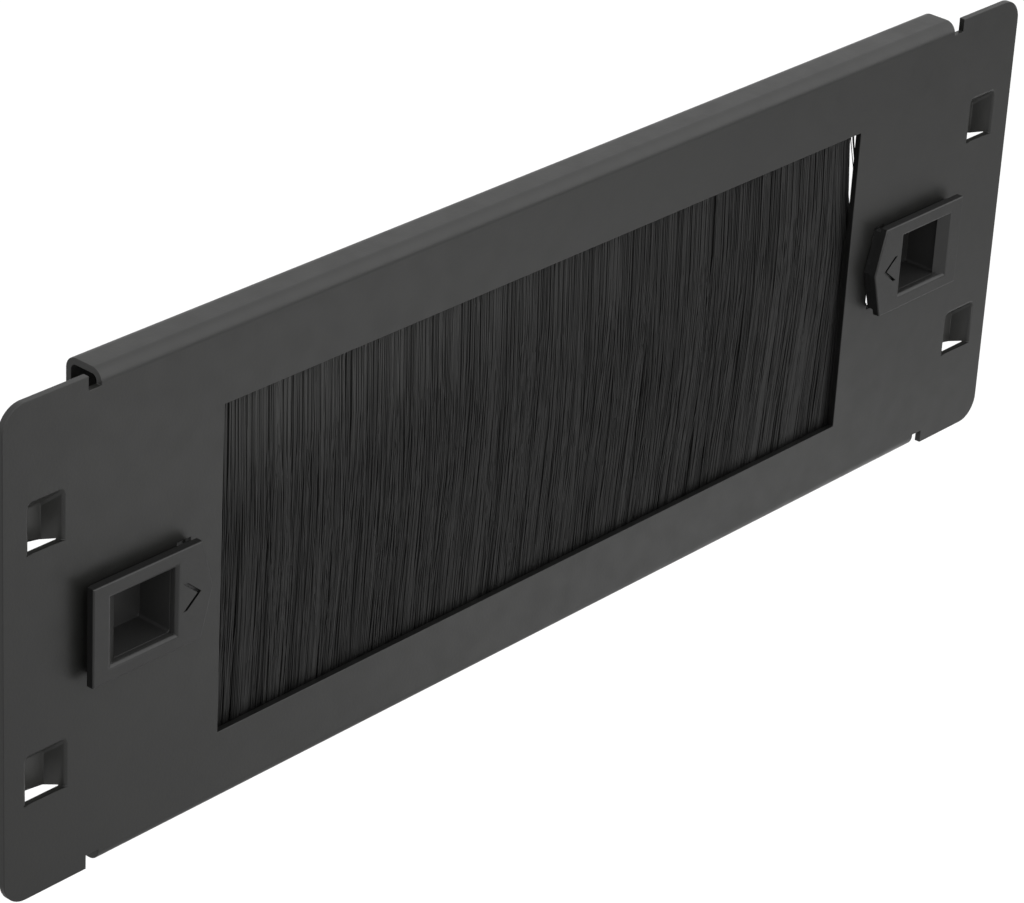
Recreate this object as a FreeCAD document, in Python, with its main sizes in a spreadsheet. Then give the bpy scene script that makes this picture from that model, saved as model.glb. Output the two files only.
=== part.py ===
"""Tool-free 10-inch rack panel, two units high, with a brush-filled cable window.

The front face looks along -Y, +X is the panel's width and +Z is up. The origin is the middle of the
panel on the plane of the sheet's back face, which is the plane that seats on the rack's rails.
"""
import FreeCAD, Part
import math
import os
import re
import Sketcher

VECTOR = FreeCAD.Vector

# alias, value in millimetres, what it is
SIZES = [
    ("panel_width", 254.0, "outside width, the 10-inch standard"),
    ("panel_height", 88.1, "outside height, two units less the usual gap"),
    ("sheet_thickness", 1.2, "steel sheet"),
    ("bend_radius", 1.0, "inside radius of every fold"),
    ("corner_radius", 4.5, "outer corners of the ears"),
    ("ear_width", 17.4, "end of the panel to the bend relief"),
    ("relief_width", 2.6, "bend relief notch along the width"),
    ("relief_depth", 2.5, "bend relief notch along the height"),
    ("channel_depth", 8.0, "top channel, front face to the back of its lip"),
    ("lip_height", 11.0, "lip of the top channel, from the panel's top"),
    ("lower_flange_depth", 8.0, "bottom flange, from the front face"),
    ("window_height", 60.0, "cable window"),
    ("window_drop", 0.6, "middle of the window below the middle of the panel"),
    ("rack_hole_inset", 8.74, "end of the panel to the rack's hole line"),
    ("rack_unit", 44.45, "height of one unit, and the spacing of the hooks"),
    ("hook_height", 8.9, "pressed hook, seats in the rack's 9.5 mm square hole"),
    ("upper_hook_width", 7.2, "upper hooks"),
    ("lower_hook_width", 8.4, "lower hooks"),
    ("hook_wall_run", 1.5, "slope of a hook's side walls along the width"),
    ("hook_top_run", 3.0, "slope of a hook's top wall along the height"),
    ("hook_wall", 0.5, "a hook's outside beyond its hollow"),
    ("hook_depth", 3.6, "how far a hook is pressed back"),
    ("hook_crease_radius", 0.9, "inner creases of a hook"),
    ("hook_rim_radius", 0.7, "front edges that a hook is drawn over"),
    ("rail_thickness", 2.0, "thickest rail that the latch bolt reaches behind"),
    ("plate_inset", 15.9, "end of the panel to the latch plate"),
    ("plate_length", 23.3, "straight part of the latch plate"),
    ("plate_tip", 2.5, "pointed inner end of the latch plate"),
    ("plate_height", 17.7, "latch plate"),
    ("plate_thickness", 1.5, "latch plate"),
    ("plate_standoff", 1.5, "gap from the sheet to the latch plate"),
    ("plate_edge_radius", 0.3, "rounded front edges of the latch plate"),
    ("hole_rim_radius", 0.8, "rounded front edge of the hole in the latch plate"),
    ("ramp_reach", 1.3, "finger ramp beyond the outer side of the pocket"),
    ("ramp_lip", 1.0, "finger ramp over the outer side of the pocket"),
    ("pocket_inset", 4.65, "outer edge of the latch plate to the finger pocket"),
    ("pocket_width", 13.0, "finger pocket"),
    ("pocket_height", 12.0, "finger pocket"),
    ("pocket_depth", 8.4, "finger pocket, from the front of the latch plate"),
    ("cup_wall", 0.9, "wall of the finger cup"),
    ("cup_corner_radius", 0.6, "inner corners of the finger cup"),
    ("latch_travel", 5.2, "inward slide that frees the bolt from the rail"),
    ("slide_gap", 0.1, "running clearance of the latch in and on the sheet"),
    ("stop_gap", 0.4, "spare length left when the latch is fully in"),
    ("collar_margin", 0.9, "collar of the latch cover beyond the aperture"),
    ("collar_length", 2.0, "collar of the latch cover beyond the cup's outer side"),
    ("collar_inset", 1.0, "collar inside the plate's pointed inner end"),
    ("seat_gap", 0.05, "clearance of the cup's rim in the collar"),
    ("snap_height", 0.35, "snap hooks on the cup's rim"),
    ("snap_width", 6.0, "snap hooks on the cup's rim"),
    ("snap_depth", 0.9, "snap hooks on the cup's rim, front to back"),
    ("mark_apex", 2.7, "arrow tip to the tip of the latch plate"),
    ("mark_length", 3.0, "engraved arrow"),
    ("mark_height", 5.0, "engraved arrow"),
    ("mark_stroke", 0.8, "stroke of the engraved arrow along the slide"),
    ("mark_depth", 0.3, "depth of the engraved arrow"),
    ("notch_length", 2.9, "assembly notch of the latch aperture"),
    ("notch_height", 16.6, "assembly notch of the latch aperture"),
    ("notch_setback", 0.4, "assembly notch to the inner end of the aperture"),
    ("guide_length", 2.7, "guide lips on the slider"),
    ("guide_height", 1.2, "guide lips beyond the aperture's edge"),
    ("guide_thickness", 1.4, "guide lips and the root of the bolt"),
    ("bolt_reach", 4.9, "bolt behind the rail when it is locked"),
    ("bolt_gap", 0.3, "rail to bolt"),
    ("bolt_thickness", 2.2, "bolt"),
    ("bolt_height", 10.0, "bolt"),
    ("bolt_ramp", 2.6, "length of the lead-in ramp on the bolt's tip"),
    ("bolt_tip_thickness", 0.7, "bolt at the end of its ramp"),
    ("spring_radius", 1.9, "outside radius of the spring"),
    ("spring_wire_radius", 0.25, "spring wire"),
    ("spring_turns", 5.0, "turns of the spring"),
    ("spring_gap", 0.3, "spring to the parts around it"),
    ("spring_post_radius", 1.0, "post and nib inside the spring's ends"),
    ("spring_post_length", 2.0, "post and nib inside the spring's ends"),
    ("spring_seat_thickness", 2.0, "spring seat on the slider"),
    ("trough_wall", 0.8, "ribs beside the spring"),
    ("stop_thickness", 1.0, "sheet of the spring stop"),
    ("stop_width", 10.0, "spring stop along the height"),
    ("stop_foot", 5.4, "foot of the spring stop"),
    ("stop_bend_radius", 0.6, "inside radius of the spring stop"),
    ("holder_gap", 0.1, "brush holder to the top channel"),
    ("holder_wall", 0.7, "brush holder"),
    ("holder_height", 7.5, "brush holder"),
    ("holder_shoulder", 4.4, "top of the brush holder to where its legs turn in"),
    ("holder_radius", 1.2, "outer corners of the brush holder"),
    ("brush_overrun", 0.5, "brush beyond each side of the window"),
    ("brush_margin", 0.35, "brush to the spring stops"),
    ("core_radius", 0.8, "core wire of the brush"),
    ("fibre_gap", 0.05, "fibres to the core wire and the holder's mouth"),
    ("fibre_thickness", 2.8, "bundle of fibres, front to back"),
    ("fibre_tip_thickness", 2.2, "bundle of fibres at the tips"),
    ("fibre_overlap", 4.8, "fibre tips below the window's lower edge"),
    ("tuft_groove", 0.45, "depth of the grooves between the tufts"),
    ("tuft_spread", 0.15, "how much some tufts stand back from the others"),
    ("tuft_slit_width", 0.7, "slits between the tufts at their tips"),
    ("tuft_slit_low", 3.0, "lowest slit above the longest tips"),
    ("tuft_slit_high", 8.0, "highest slit above the longest tips"),
    ("tuft_trim", 1.6, "shortest tuft above the longest"),
]
TUFT_COUNT = 81
PATTERN_STEP = 2.4
SPRING_WIRE_SIDES = 6

# The latches and hooks at the panel's two ends, and the direction of each end.
SIDES = (("left", -1), ("right", 1))

DOC = FreeCAD.newDocument("brush_panel")


def make_sizes():
    """The sheet of driving dimensions, one aliased cell each."""
    sheet = DOC.addObject("Spreadsheet::Sheet", "sizes")
    for row, (alias, value, note) in enumerate(SIZES, start=1):
        sheet.set(f"A{row}", str(value))
        sheet.setAlias(f"A{row}", alias)
        sheet.set(f"B{row}", note)
    DOC.recompute()
    return sheet


SHEET = make_sizes()


def size(text):
    """An expression in the sheet's aliases, each with the sheet's name in front."""
    return "(" + re.sub(r"[a-z]\w*", r"sizes.\g<0>", text) + ")"


def number(expression):
    """What an expression comes to, in millimetres."""
    return float(SHEET.evalExpression(expression))


# Places that several pieces share, each worked out from the sizes.
HALF_WIDTH = size("panel_width / 2")
TOP = size("panel_height / 2")
FRONT = size("-sheet_thickness")
BEND_OUTSIDE = size("bend_radius + sheet_thickness")
EAR_END = size("panel_width / 2 - ear_width")
WEB_TOP = size("panel_height / 2 - relief_depth")
FLANGE_WIDTH = size("panel_width - 2 * (ear_width + relief_width)")
CHANNEL_MIDDLE = size("(channel_depth - 2 * sheet_thickness) / 2")
WINDOW_TOP = size("window_height / 2 - window_drop")
WINDOW_BOTTOM = size("-window_height / 2 - window_drop")
HOLDER_TOP = size("panel_height / 2 - sheet_thickness - holder_gap")
HOLDER_MOUTH = f"({HOLDER_TOP} - {size('holder_height')})"

PLATE_BACK = size("-sheet_thickness - plate_standoff")
PLATE_FRONT = size("-sheet_thickness - plate_standoff - plate_thickness")
CUP_BACK = f"({PLATE_FRONT} + {size('pocket_depth + cup_wall')})"
POCKET_OUT = size("plate_inset + pocket_inset")
POCKET_IN = f"({POCKET_OUT} + {size('pocket_width')})"
CUP_OUT = f"({POCKET_OUT} - {size('cup_wall')})"
CUP_IN = f"({POCKET_IN} + {size('cup_wall')})"
CUP_TOP = size("pocket_height / 2 + cup_wall")
APERTURE_OUT = f"({CUP_OUT} - {size('slide_gap')})"
APERTURE_IN = f"({CUP_IN} + {size('latch_travel + slide_gap')})"
APERTURE_TOP = f"({CUP_TOP} + {size('slide_gap')})"
BOLT_FRONT = size("rail_thickness + bolt_gap")
SPRING_AXIS = f"({CUP_BACK} + {size('spring_gap + spring_radius')})"
SPRING_OUT = f"({CUP_OUT} + {size('cup_wall + spring_seat_thickness')})"
STOP_FACE = f"({CUP_IN} + {size('latch_travel + stop_gap')})"
STOP_END = f"({STOP_FACE} + {size('stop_foot')})"
BRUSH_END = f"({HALF_WIDTH} - {STOP_END} - {size('brush_margin')})"
WINDOW_END = f"({BRUSH_END} - {size('brush_overrun')})"


def body(name):
    """An empty body whose label is the piece's name."""
    piece = DOC.addObject("PartDesign::Body", name)
    piece.Label = name
    return piece


def sketch_on(piece, plane, name, offset=None):
    """A sketch on one of the body's own origin planes, moved along the plane's normal."""
    sketch = piece.newObject("Sketcher::SketchObject", name)
    support = [item for item in piece.Origin.OriginFeatures if item.Role == plane][0]
    sketch.AttachmentSupport = [(support, "")]
    sketch.MapMode = "FlatFace"
    if offset:
        sketch.setExpression("AttachmentOffset.Base.z", offset)
    return sketch


def bind_point(sketch, index, position, across, up):
    """Tie one point of a sketch to its two coordinates."""
    for kind, expression in (("DistanceX", across), ("DistanceY", up)):
        value = number(expression)
        if expression == "0":
            axis = -2 if kind == "DistanceX" else -1
            sketch.addConstraint(Sketcher.Constraint("PointOnObject", index, position, axis))
        else:
            row = sketch.addConstraint(Sketcher.Constraint(kind, index, position, value))
            sketch.setExpression(f"Constraints[{row}]", expression)


def polygon(sketch, points):
    """A closed outline through points whose coordinates are expressions."""
    corners = [VECTOR(number(across), number(up), 0) for across, up in points]
    first = sketch.GeometryCount
    count = len(points)
    for step in range(count):
        line = Part.LineSegment(corners[step], corners[(step + 1) % count])
        sketch.addGeometry(line, False)
    for step in range(count):
        following = first + (step + 1) % count
        sketch.addConstraint(Sketcher.Constraint("Coincident", first + step, 2, following, 1))
    for step, (across, up) in enumerate(points):
        bind_point(sketch, first + step, 1, across, up)


def rectangle(sketch, left, right, low, high):
    """An upright rectangle between four expressions."""
    polygon(sketch, [(left, low), (right, low), (right, high), (left, high)])


def circle(sketch, across, up, radius):
    """A circle whose middle and radius are expressions."""
    middle = VECTOR(number(across), number(up), 0)
    index = sketch.addGeometry(Part.Circle(middle, VECTOR(0, 0, 1), number(radius)), False)
    bind_point(sketch, index, 3, across, up)
    row = sketch.addConstraint(Sketcher.Constraint("Radius", index, number(radius)))
    sketch.setExpression(f"Constraints[{row}]", radius)


def pad(piece, sketch, length, back=None, symmetric=False):
    """Material along the sketch's normal, and along its back if a second length is given."""
    feature = piece.newObject("PartDesign::Pad", sketch.Name + "_pad")
    feature.Profile = sketch
    feature.SideType = "Symmetric" if symmetric else "Two sides" if back else "One side"
    feature.setExpression("Length", length)
    if back:
        feature.setExpression("Length2", back)
    DOC.recompute()
    return feature


def pocket(piece, sketch, depth, toward_normal=False, symmetric=False):
    """A cut against the sketch's normal, or along it, that has to remove material."""
    before = piece.Shape.Volume
    feature = piece.newObject("PartDesign::Pocket", sketch.Name + "_cut")
    feature.Profile = sketch
    feature.SideType = "Symmetric" if symmetric else "One side"
    feature.Reversed = toward_normal
    feature.setExpression("Length", depth)
    DOC.recompute()
    if not piece.Shape.Volume < before:
        raise ValueError(f"{feature.Name} removes nothing")
    return feature


def edges_at(piece, direction, places, centred=False):
    """Names of the body's straight edges that run along direction through the places.

    A centred edge also has its own middle at the place.
    """
    names = []
    for row, edge in enumerate(piece.Shape.Edges, start=1):
        if not isinstance(edge.Curve, Part.Line) or abs(edge.Curve.Direction.dot(direction)) < 0.999:
            continue
        for place in places:
            offset = edge.CenterOfMass - place
            along = offset.dot(direction)
            if (offset - direction * along).Length < 0.01 and (not centred or abs(along) < 0.01):
                names.append(f"Edge{row}")
                break
    return names


def round_edges(piece, name, edges, radius):
    """A fillet on the named edges."""
    base = piece.Tip
    feature = piece.newObject("PartDesign::Fillet", name)
    feature.Base = (base, edges)
    feature.setExpression("Radius", radius)
    DOC.recompute()
    return feature


def named_edges(piece):
    """Each edge of the body with its name."""
    return [(f"Edge{row}", edge) for row, edge in enumerate(piece.Shape.Edges, start=1)]


def edges_in_box(piece, low, high):
    """Names of the body's edges that lie whole between two corners."""
    names = []
    for name, edge in named_edges(piece):
        box = edge.BoundBox
        inside = [low[axis] - 0.01 < least and most < high[axis] + 0.01 for axis, least, most in
                  ((0, box.XMin, box.XMax), (1, box.YMin, box.YMax), (2, box.ZMin, box.ZMax))]
        if all(inside):
            names.append(name)
    return names


def lengthwise(piece, *points):
    """The edges along X, centred on the panel, at pairs of Y and Z expressions."""
    places = [VECTOR(0, number(depth), number(up)) for depth, up in points]
    return edges_at(piece, VECTOR(1, 0, 0), places, centred=True)


def from_end(side, distance):
    """The X of a place that is a distance in from the panel's end on one side."""
    return f"({side} * ({HALF_WIDTH} - {distance}))"


def add_sheet_outline(panel):
    """The flat front: two full-height ears joined by a web, with a bend relief at each fold's end."""
    outline = sketch_on(panel, "XZ_Plane", "front_outline")
    right = [(EAR_END, f"-{WEB_TOP}"), (EAR_END, f"-{TOP}"), (HALF_WIDTH, f"-{TOP}"),
             (HALF_WIDTH, TOP), (EAR_END, TOP), (EAR_END, WEB_TOP)]
    left = [(f"-{across}", up) for across, up in reversed(right)]
    polygon(outline, right + left)
    pad(panel, outline, size("sheet_thickness"))
    corners = [VECTOR(x * number(HALF_WIDTH), 0, z * number(TOP)) for x in (-1, 1) for z in (-1, 1)]
    round_edges(panel, "ear_corners", edges_at(panel, VECTOR(0, 1, 0), corners), size("corner_radius"))


def add_top_channel(panel):
    """The channel folded back along the top edge, which holds the brush."""
    profile = sketch_on(panel, "YZ_Plane", "channel_profile")
    lip_back = size("channel_depth - sheet_thickness")
    lip_front = size("channel_depth - 2 * sheet_thickness")
    lip_end = size("panel_height / 2 - lip_height")
    under = size("panel_height / 2 - sheet_thickness")
    polygon(profile, [(FRONT, WEB_TOP), (FRONT, TOP), (lip_back, TOP), (lip_back, lip_end),
                      (lip_front, lip_end), (lip_front, under), ("0", under), ("0", WEB_TOP)])
    pad(panel, profile, FLANGE_WIDTH, symmetric=True)
    outside = lengthwise(panel, (FRONT, TOP), (lip_back, TOP))
    round_edges(panel, "channel_bends_outside", outside, BEND_OUTSIDE)
    inside = lengthwise(panel, ("0", under), (lip_front, under))
    round_edges(panel, "channel_bends_inside", inside, size("bend_radius"))


def add_lower_flange(panel):
    """The plain flange folded back along the bottom edge."""
    profile = sketch_on(panel, "YZ_Plane", "flange_profile")
    end = size("lower_flange_depth - sheet_thickness")
    over = size("-panel_height / 2 + sheet_thickness")
    low, web_low = f"-{TOP}", f"-{WEB_TOP}"
    polygon(profile, [(FRONT, web_low), (FRONT, low), (end, low), (end, over), ("0", over),
                      ("0", web_low)])
    pad(panel, profile, FLANGE_WIDTH, symmetric=True)
    outside = lengthwise(panel, (FRONT, low))
    round_edges(panel, "flange_bend_outside", outside, BEND_OUTSIDE)
    inside = lengthwise(panel, ("0", over))
    round_edges(panel, "flange_bend_inside", inside, size("bend_radius"))


def cut_openings(panel):
    """The cable window and, on each side, the aperture that a latch slides in."""
    through = size("4 * sheet_thickness")
    window = sketch_on(panel, "XZ_Plane", "window")
    rectangle(window, f"-{WINDOW_END}", WINDOW_END, WINDOW_BOTTOM, WINDOW_TOP)
    pocket(panel, window, through, symmetric=True)
    notch_in = f"({APERTURE_IN} - {size('notch_setback')})"
    notch_out = f"({notch_in} - {size('notch_length')})"
    notch_top = size("notch_height / 2")
    upper = [(APERTURE_OUT, APERTURE_TOP), (notch_out, APERTURE_TOP), (notch_out, notch_top),
             (notch_in, notch_top), (notch_in, APERTURE_TOP), (APERTURE_IN, APERTURE_TOP)]
    lower = [(distance, f"-{up}") for distance, up in reversed(upper)]
    for name, side in SIDES:
        aperture = sketch_on(panel, "XZ_Plane", "aperture_" + name)
        polygon(aperture, [(from_end(side, distance), up) for distance, up in upper + lower])
        pocket(panel, aperture, through, symmetric=True)


def add_hooks(panel):
    """Four hooks pressed back from the ears: tapered troughs that are open at their lower ends."""
    for name, side in SIDES:
        for level, row in (("upper", 1), ("lower", -1)):
            label = f"{level}_hook_{name}"
            middle = from_end(side, size("rack_hole_inset"))
            low = size(f"{row} * rack_unit / 2 - hook_height / 2")
            half = size(f"{level}_hook_width / 2")
            press_wedge(panel, "PartDesign::AdditiveWedge", label + "_out", middle, low, "0",
                        size(f"{level}_hook_width / 2 + hook_wall"), size("hook_height + hook_wall"))
            press_wedge(panel, "PartDesign::SubtractiveWedge", label + "_in", middle, low, FRONT,
                        half, size("hook_height"))
            soften_hook(panel, label, number(middle), number(half), number(low))


def press_wedge(panel, kind, label, middle, low, lead, half, height):
    """A wedge that narrows towards the back on its sides and its top, but not at its lower end."""
    wedge = panel.newObject(kind, label)
    wedge.setExpression("Xmin", f"{middle} - {half}")
    wedge.setExpression("Xmax", f"{middle} + {half}")
    wedge.setExpression("X2min", f"{middle} - {half} + {size('hook_wall_run')}")
    wedge.setExpression("X2max", f"{middle} + {half} - {size('hook_wall_run')}")
    wedge.setExpression("Ymin", lead)
    wedge.setExpression("Ymax", f"{lead} + {size('hook_depth')}")
    wedge.setExpression("Zmin", low)
    wedge.setExpression("Zmax", f"{low} + {height}")
    wedge.setExpression("Z2min", low)
    wedge.setExpression("Z2max", f"{low} + {height} - {size('hook_top_run')}")
    DOC.recompute()


def soften_hook(panel, label, middle, half, low):
    """Round a hook's inner creases, and then the front edges that the sheet is drawn over."""
    front, top = number(FRONT), low + number(size("hook_height"))
    run, rise = number(size("hook_wall_run")), number(size("hook_top_run"))
    floor = front + number(size("hook_depth"))
    creases = edges_in_box(panel, VECTOR(middle - half + run, floor, low + 0.1),
                           VECTOR(middle + half - run, floor, top - rise))
    for name, edge in named_edges(panel):
        for way in (-1, 1):
            slope = VECTOR(middle + way * (half - run / 2), (front + floor) / 2, top - rise / 2)
            if (edge.CenterOfMass - slope).Length < 0.01:
                creases.append(name)
    round_edges(panel, label + "_creases", creases, size("hook_crease_radius"))
    rim = edges_in_box(panel, VECTOR(middle - half, front, low), VECTOR(middle + half, front, top))
    sheared = edges_in_box(panel, VECTOR(middle - half, front, low), VECTOR(middle + half, front, low))
    round_edges(panel, label + "_rim", [name for name in rim if name not in sheared],
                size("hook_rim_radius"))


def make_front_panel():
    """The whole folded sheet."""
    panel = body("front_panel")
    add_sheet_outline(panel)
    add_top_channel(panel)
    add_lower_flange(panel)
    cut_openings(panel)
    add_hooks(panel)
    return panel


def make_spring_stop(name, side):
    """An angle fixed behind the sheet between the latch and the window, with a nib for the spring."""
    stop = body("spring_stop_" + name)
    profile = sketch_on(stop, "XY_Plane", "stop_profile_" + name)
    inner_face = f"({STOP_FACE} + {size('stop_thickness')})"
    back = f"({SPRING_AXIS} + {size('spring_radius + spring_gap')})"
    foot = size("stop_thickness")
    points = [(STOP_FACE, "0"), (STOP_END, "0"), (STOP_END, foot), (inner_face, foot),
              (inner_face, back), (STOP_FACE, back)]
    polygon(profile, [(from_end(side, distance), depth) for distance, depth in points])
    pad(stop, profile, size("stop_width"), symmetric=True)
    corner = VECTOR(number(from_end(side, inner_face)), number(foot), 0)
    fold = VECTOR(number(from_end(side, STOP_FACE)), 0, 0)
    upright = VECTOR(0, 0, 1)
    round_edges(stop, "stop_bend_in_" + name, edges_at(stop, upright, [corner]),
                size("stop_bend_radius"))
    round_edges(stop, "stop_bend_out_" + name, edges_at(stop, upright, [fold]),
                size("stop_bend_radius + stop_thickness"))
    nib = sketch_on(stop, "YZ_Plane", "nib_" + name, from_end(side, STOP_FACE))
    circle(nib, SPRING_AXIS, "0", size("spring_post_radius"))
    feature = pad(stop, nib, size("spring_post_length"))
    feature.Reversed = side < 0
    DOC.recompute()
    return stop


def make_latch_slider(name, side):
    """The finger cup with its bolt, guide lips, snap hooks and spring seat, in one moulding."""
    slider = body("latch_slider_" + name)
    depth_front = size("sheet_thickness + plate_standoff")

    cup = sketch_on(slider, "XZ_Plane", "cup_" + name)
    rectangle(cup, from_end(side, CUP_OUT), from_end(side, CUP_IN), f"-{CUP_TOP}", CUP_TOP)
    pad(slider, cup, depth_front, back=CUP_BACK)
    hollow = sketch_on(slider, "XZ_Plane", "hollow_" + name, depth_front)
    half_pocket = size("pocket_height / 2")
    rectangle(hollow, from_end(side, POCKET_OUT), from_end(side, POCKET_IN),
              f"-{half_pocket}", half_pocket)
    pocket(slider, hollow, size("pocket_depth - plate_thickness"))
    corners = [VECTOR(number(from_end(side, distance)), 0, up * number(half_pocket))
               for distance in (POCKET_OUT, POCKET_IN) for up in (-1, 1)]
    round_edges(slider, "cup_corners_" + name, edges_at(slider, VECTOR(0, 1, 0), corners),
                size("cup_corner_radius"))

    bolt = sketch_on(slider, "XY_Plane", "bolt_" + name)
    tip = size("plate_inset - bolt_reach")
    root = size("plate_inset + plate_standoff")
    near, ramp_end = size("slide_gap"), f"({tip} + {size('bolt_ramp')})"
    back = f"({BOLT_FRONT} + {size('bolt_thickness')})"
    tip_back = f"({BOLT_FRONT} + {size('bolt_tip_thickness')})"
    points = [(CUP_OUT, near), (root, near), (root, BOLT_FRONT), (tip, BOLT_FRONT),
              (tip, tip_back), (ramp_end, back), (CUP_OUT, back)]
    polygon(bolt, [(from_end(side, distance), depth) for distance, depth in points])
    pad(slider, bolt, size("bolt_height"), symmetric=True)

    guide_in = f"({CUP_IN} - {size('cup_wall / 4')})"
    guide_out = f"({guide_in} - {size('guide_length')})"
    lip_top = f"({APERTURE_TOP} + {size('guide_height')})"
    for level, up in (("upper", ""), ("lower", "-")):
        lip = sketch_on(slider, "XZ_Plane", f"{level}_guide_{name}", f"-{near}")
        rectangle(lip, from_end(side, guide_out), from_end(side, guide_in),
                  up + CUP_TOP, up + lip_top)
        feature = pad(slider, lip, size("guide_thickness"))
        feature.Reversed = True
        DOC.recompute()

    middle = f"({POCKET_OUT} + {size('pocket_width / 2')})"
    for level, up in (("upper", ""), ("lower", "-")):
        snap = sketch_on(slider, "YZ_Plane", f"{level}_snap_{name}", from_end(side, middle))
        polygon(snap, [(PLATE_BACK, up + CUP_TOP),
                       (f"({PLATE_BACK} + {size('snap_depth')})", up + CUP_TOP),
                       (f"({PLATE_BACK} + {size('snap_depth')})",
                        f"{up}({CUP_TOP} + {size('snap_height')})")])
        pad(slider, snap, size("snap_width"), symmetric=True)

    add_spring_seat(slider, name, side)
    return slider


def add_spring_seat(slider, name, side):
    """The seat, its post and the two ribs that keep the spring straight, on the cup's back."""
    seat_out = f"({CUP_OUT} + {size('cup_wall')})"
    seat_half = size("spring_radius + spring_gap + trough_wall")
    seat_back = f"({SPRING_AXIS} + {size('spring_radius + spring_gap')})"
    seat = sketch_on(slider, "XY_Plane", "seat_" + name)
    rectangle(seat, from_end(side, seat_out), from_end(side, SPRING_OUT), CUP_BACK, seat_back)
    pad(slider, seat, f"2 * {seat_half}", symmetric=True)
    ribs = sketch_on(slider, "YZ_Plane", "ribs_" + name, from_end(side, SPRING_OUT))
    inner = size("spring_radius + spring_gap")
    rectangle(ribs, CUP_BACK, SPRING_AXIS, inner, seat_half)
    rectangle(ribs, CUP_BACK, SPRING_AXIS, f"-{seat_half}", f"-{inner}")
    feature = pad(slider, ribs, f"{POCKET_IN} - {SPRING_OUT}")
    feature.Reversed = side > 0
    DOC.recompute()
    post = sketch_on(slider, "YZ_Plane", "post_" + name, from_end(side, SPRING_OUT))
    circle(post, SPRING_AXIS, "0", size("spring_post_radius"))
    feature = pad(slider, post, size("spring_post_length"))
    feature.Reversed = side > 0
    DOC.recompute()


def make_latch_cover(name, side):
    """The pointed front plate with the collar that rides on the sheet and snaps onto the cup."""
    cover = body("latch_cover_" + name)
    standoff = size("sheet_thickness + plate_standoff")
    plate_in = size("plate_inset + plate_length")
    plate_tip = size("plate_inset + plate_length + plate_tip")
    half_plate = size("plate_height / 2")
    plate = sketch_on(cover, "XZ_Plane", "plate_" + name, standoff)
    points = [(size("plate_inset"), f"-{half_plate}"), (plate_in, f"-{half_plate}"),
              (plate_tip, "0"), (plate_in, half_plate), (size("plate_inset"), half_plate)]
    polygon(plate, [(from_end(side, distance), up) for distance, up in points])
    pad(cover, plate, size("plate_thickness"))
    front, half_panel, top = number(PLATE_FRONT), number(HALF_WIDTH), number(TOP)
    rim = edges_in_box(cover, VECTOR(-half_panel, front, -top), VECTOR(half_panel, front, top))
    round_edges(cover, "plate_rim_" + name, rim, size("plate_edge_radius"))

    collar = sketch_on(cover, "XZ_Plane", "collar_" + name, standoff)
    collar_top = f"({APERTURE_TOP} + {size('collar_margin')})"
    collar_out = f"({CUP_OUT} - {size('collar_length')})"
    collar_tip = f"({plate_tip} - {size('collar_inset')})"
    collar_in = f"({collar_tip} - {size('plate_tip')} * {collar_top} / {half_plate})"
    points = [(collar_out, f"-{collar_top}"), (collar_in, f"-{collar_top}"), (collar_tip, "0"),
              (collar_in, collar_top), (collar_out, collar_top)]
    polygon(collar, [(from_end(side, distance), up) for distance, up in points])
    feature = pad(cover, collar, size("plate_standoff - slide_gap"))
    feature.Reversed = True
    DOC.recompute()

    hole = sketch_on(cover, "XZ_Plane", "hole_" + name, standoff)
    half_pocket = size("pocket_height / 2")
    ramp_foot = f"({POCKET_OUT} + {size('ramp_lip')})"
    rectangle(hole, from_end(side, ramp_foot), from_end(side, POCKET_IN),
              f"-{half_pocket}", half_pocket)
    pocket(cover, hole, size("4 * plate_thickness"), symmetric=True)
    ramp = sketch_on(cover, "XY_Plane", "ramp_" + name)
    ramp_start = f"({POCKET_OUT} - {size('ramp_reach')})"
    points = [(ramp_start, PLATE_FRONT), (ramp_foot, PLATE_FRONT), (ramp_foot, PLATE_BACK)]
    polygon(ramp, [(from_end(side, distance), depth) for distance, depth in points])
    pocket(cover, ramp, f"2 * {half_pocket}", symmetric=True)
    ends = [number(from_end(side, distance)) for distance in (ramp_start, POCKET_IN)]
    rim = edges_in_box(cover, VECTOR(min(ends), front, -number(half_pocket)),
                       VECTOR(max(ends), front, number(half_pocket)))
    round_edges(cover, "hole_rim_" + name, rim, size("hole_rim_radius"))

    seat = sketch_on(cover, "XZ_Plane", "rim_seat_" + name, standoff)
    seat_gap = size("seat_gap")
    seat_top = f"({CUP_TOP} + {seat_gap})"
    rectangle(seat, from_end(side, f"({CUP_OUT} - {seat_gap})"),
              from_end(side, f"({CUP_IN} + {seat_gap})"), f"-{seat_top}", seat_top)
    pocket(cover, seat, size("plate_standoff"))
    middle = f"({POCKET_OUT} + {size('pocket_width / 2')})"
    catch = sketch_on(cover, "XZ_Plane", "snap_seat_" + name, standoff)
    catch_top = f"({seat_top} + {size('snap_height')})"
    half_catch = f"({size('snap_width / 2')} + {seat_gap})"
    rectangle(catch, from_end(side, f"({middle} + {half_catch})"),
              from_end(side, f"({middle} - {half_catch})"), f"-{catch_top}", catch_top)
    pocket(cover, catch, size("snap_depth + seat_gap"))

    mark = sketch_on(cover, "XZ_Plane", "mark_" + name, size(
        "sheet_thickness + plate_standoff + plate_thickness"))
    apex = f"({plate_tip} - {size('mark_apex')})"
    stroke, half_mark = size("mark_stroke"), size("mark_height / 2")
    tail = f"({apex} - {size('mark_length')})"
    points = [(apex, "0"), (tail, half_mark), (f"({tail} - {stroke})", half_mark),
              (f"({apex} - {stroke})", "0"), (f"({tail} - {stroke})", f"-{half_mark}"),
              (tail, f"-{half_mark}")]
    polygon(mark, [(from_end(side, distance), up) for distance, up in points])
    pocket(cover, mark, size("mark_depth"))
    return cover


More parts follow.
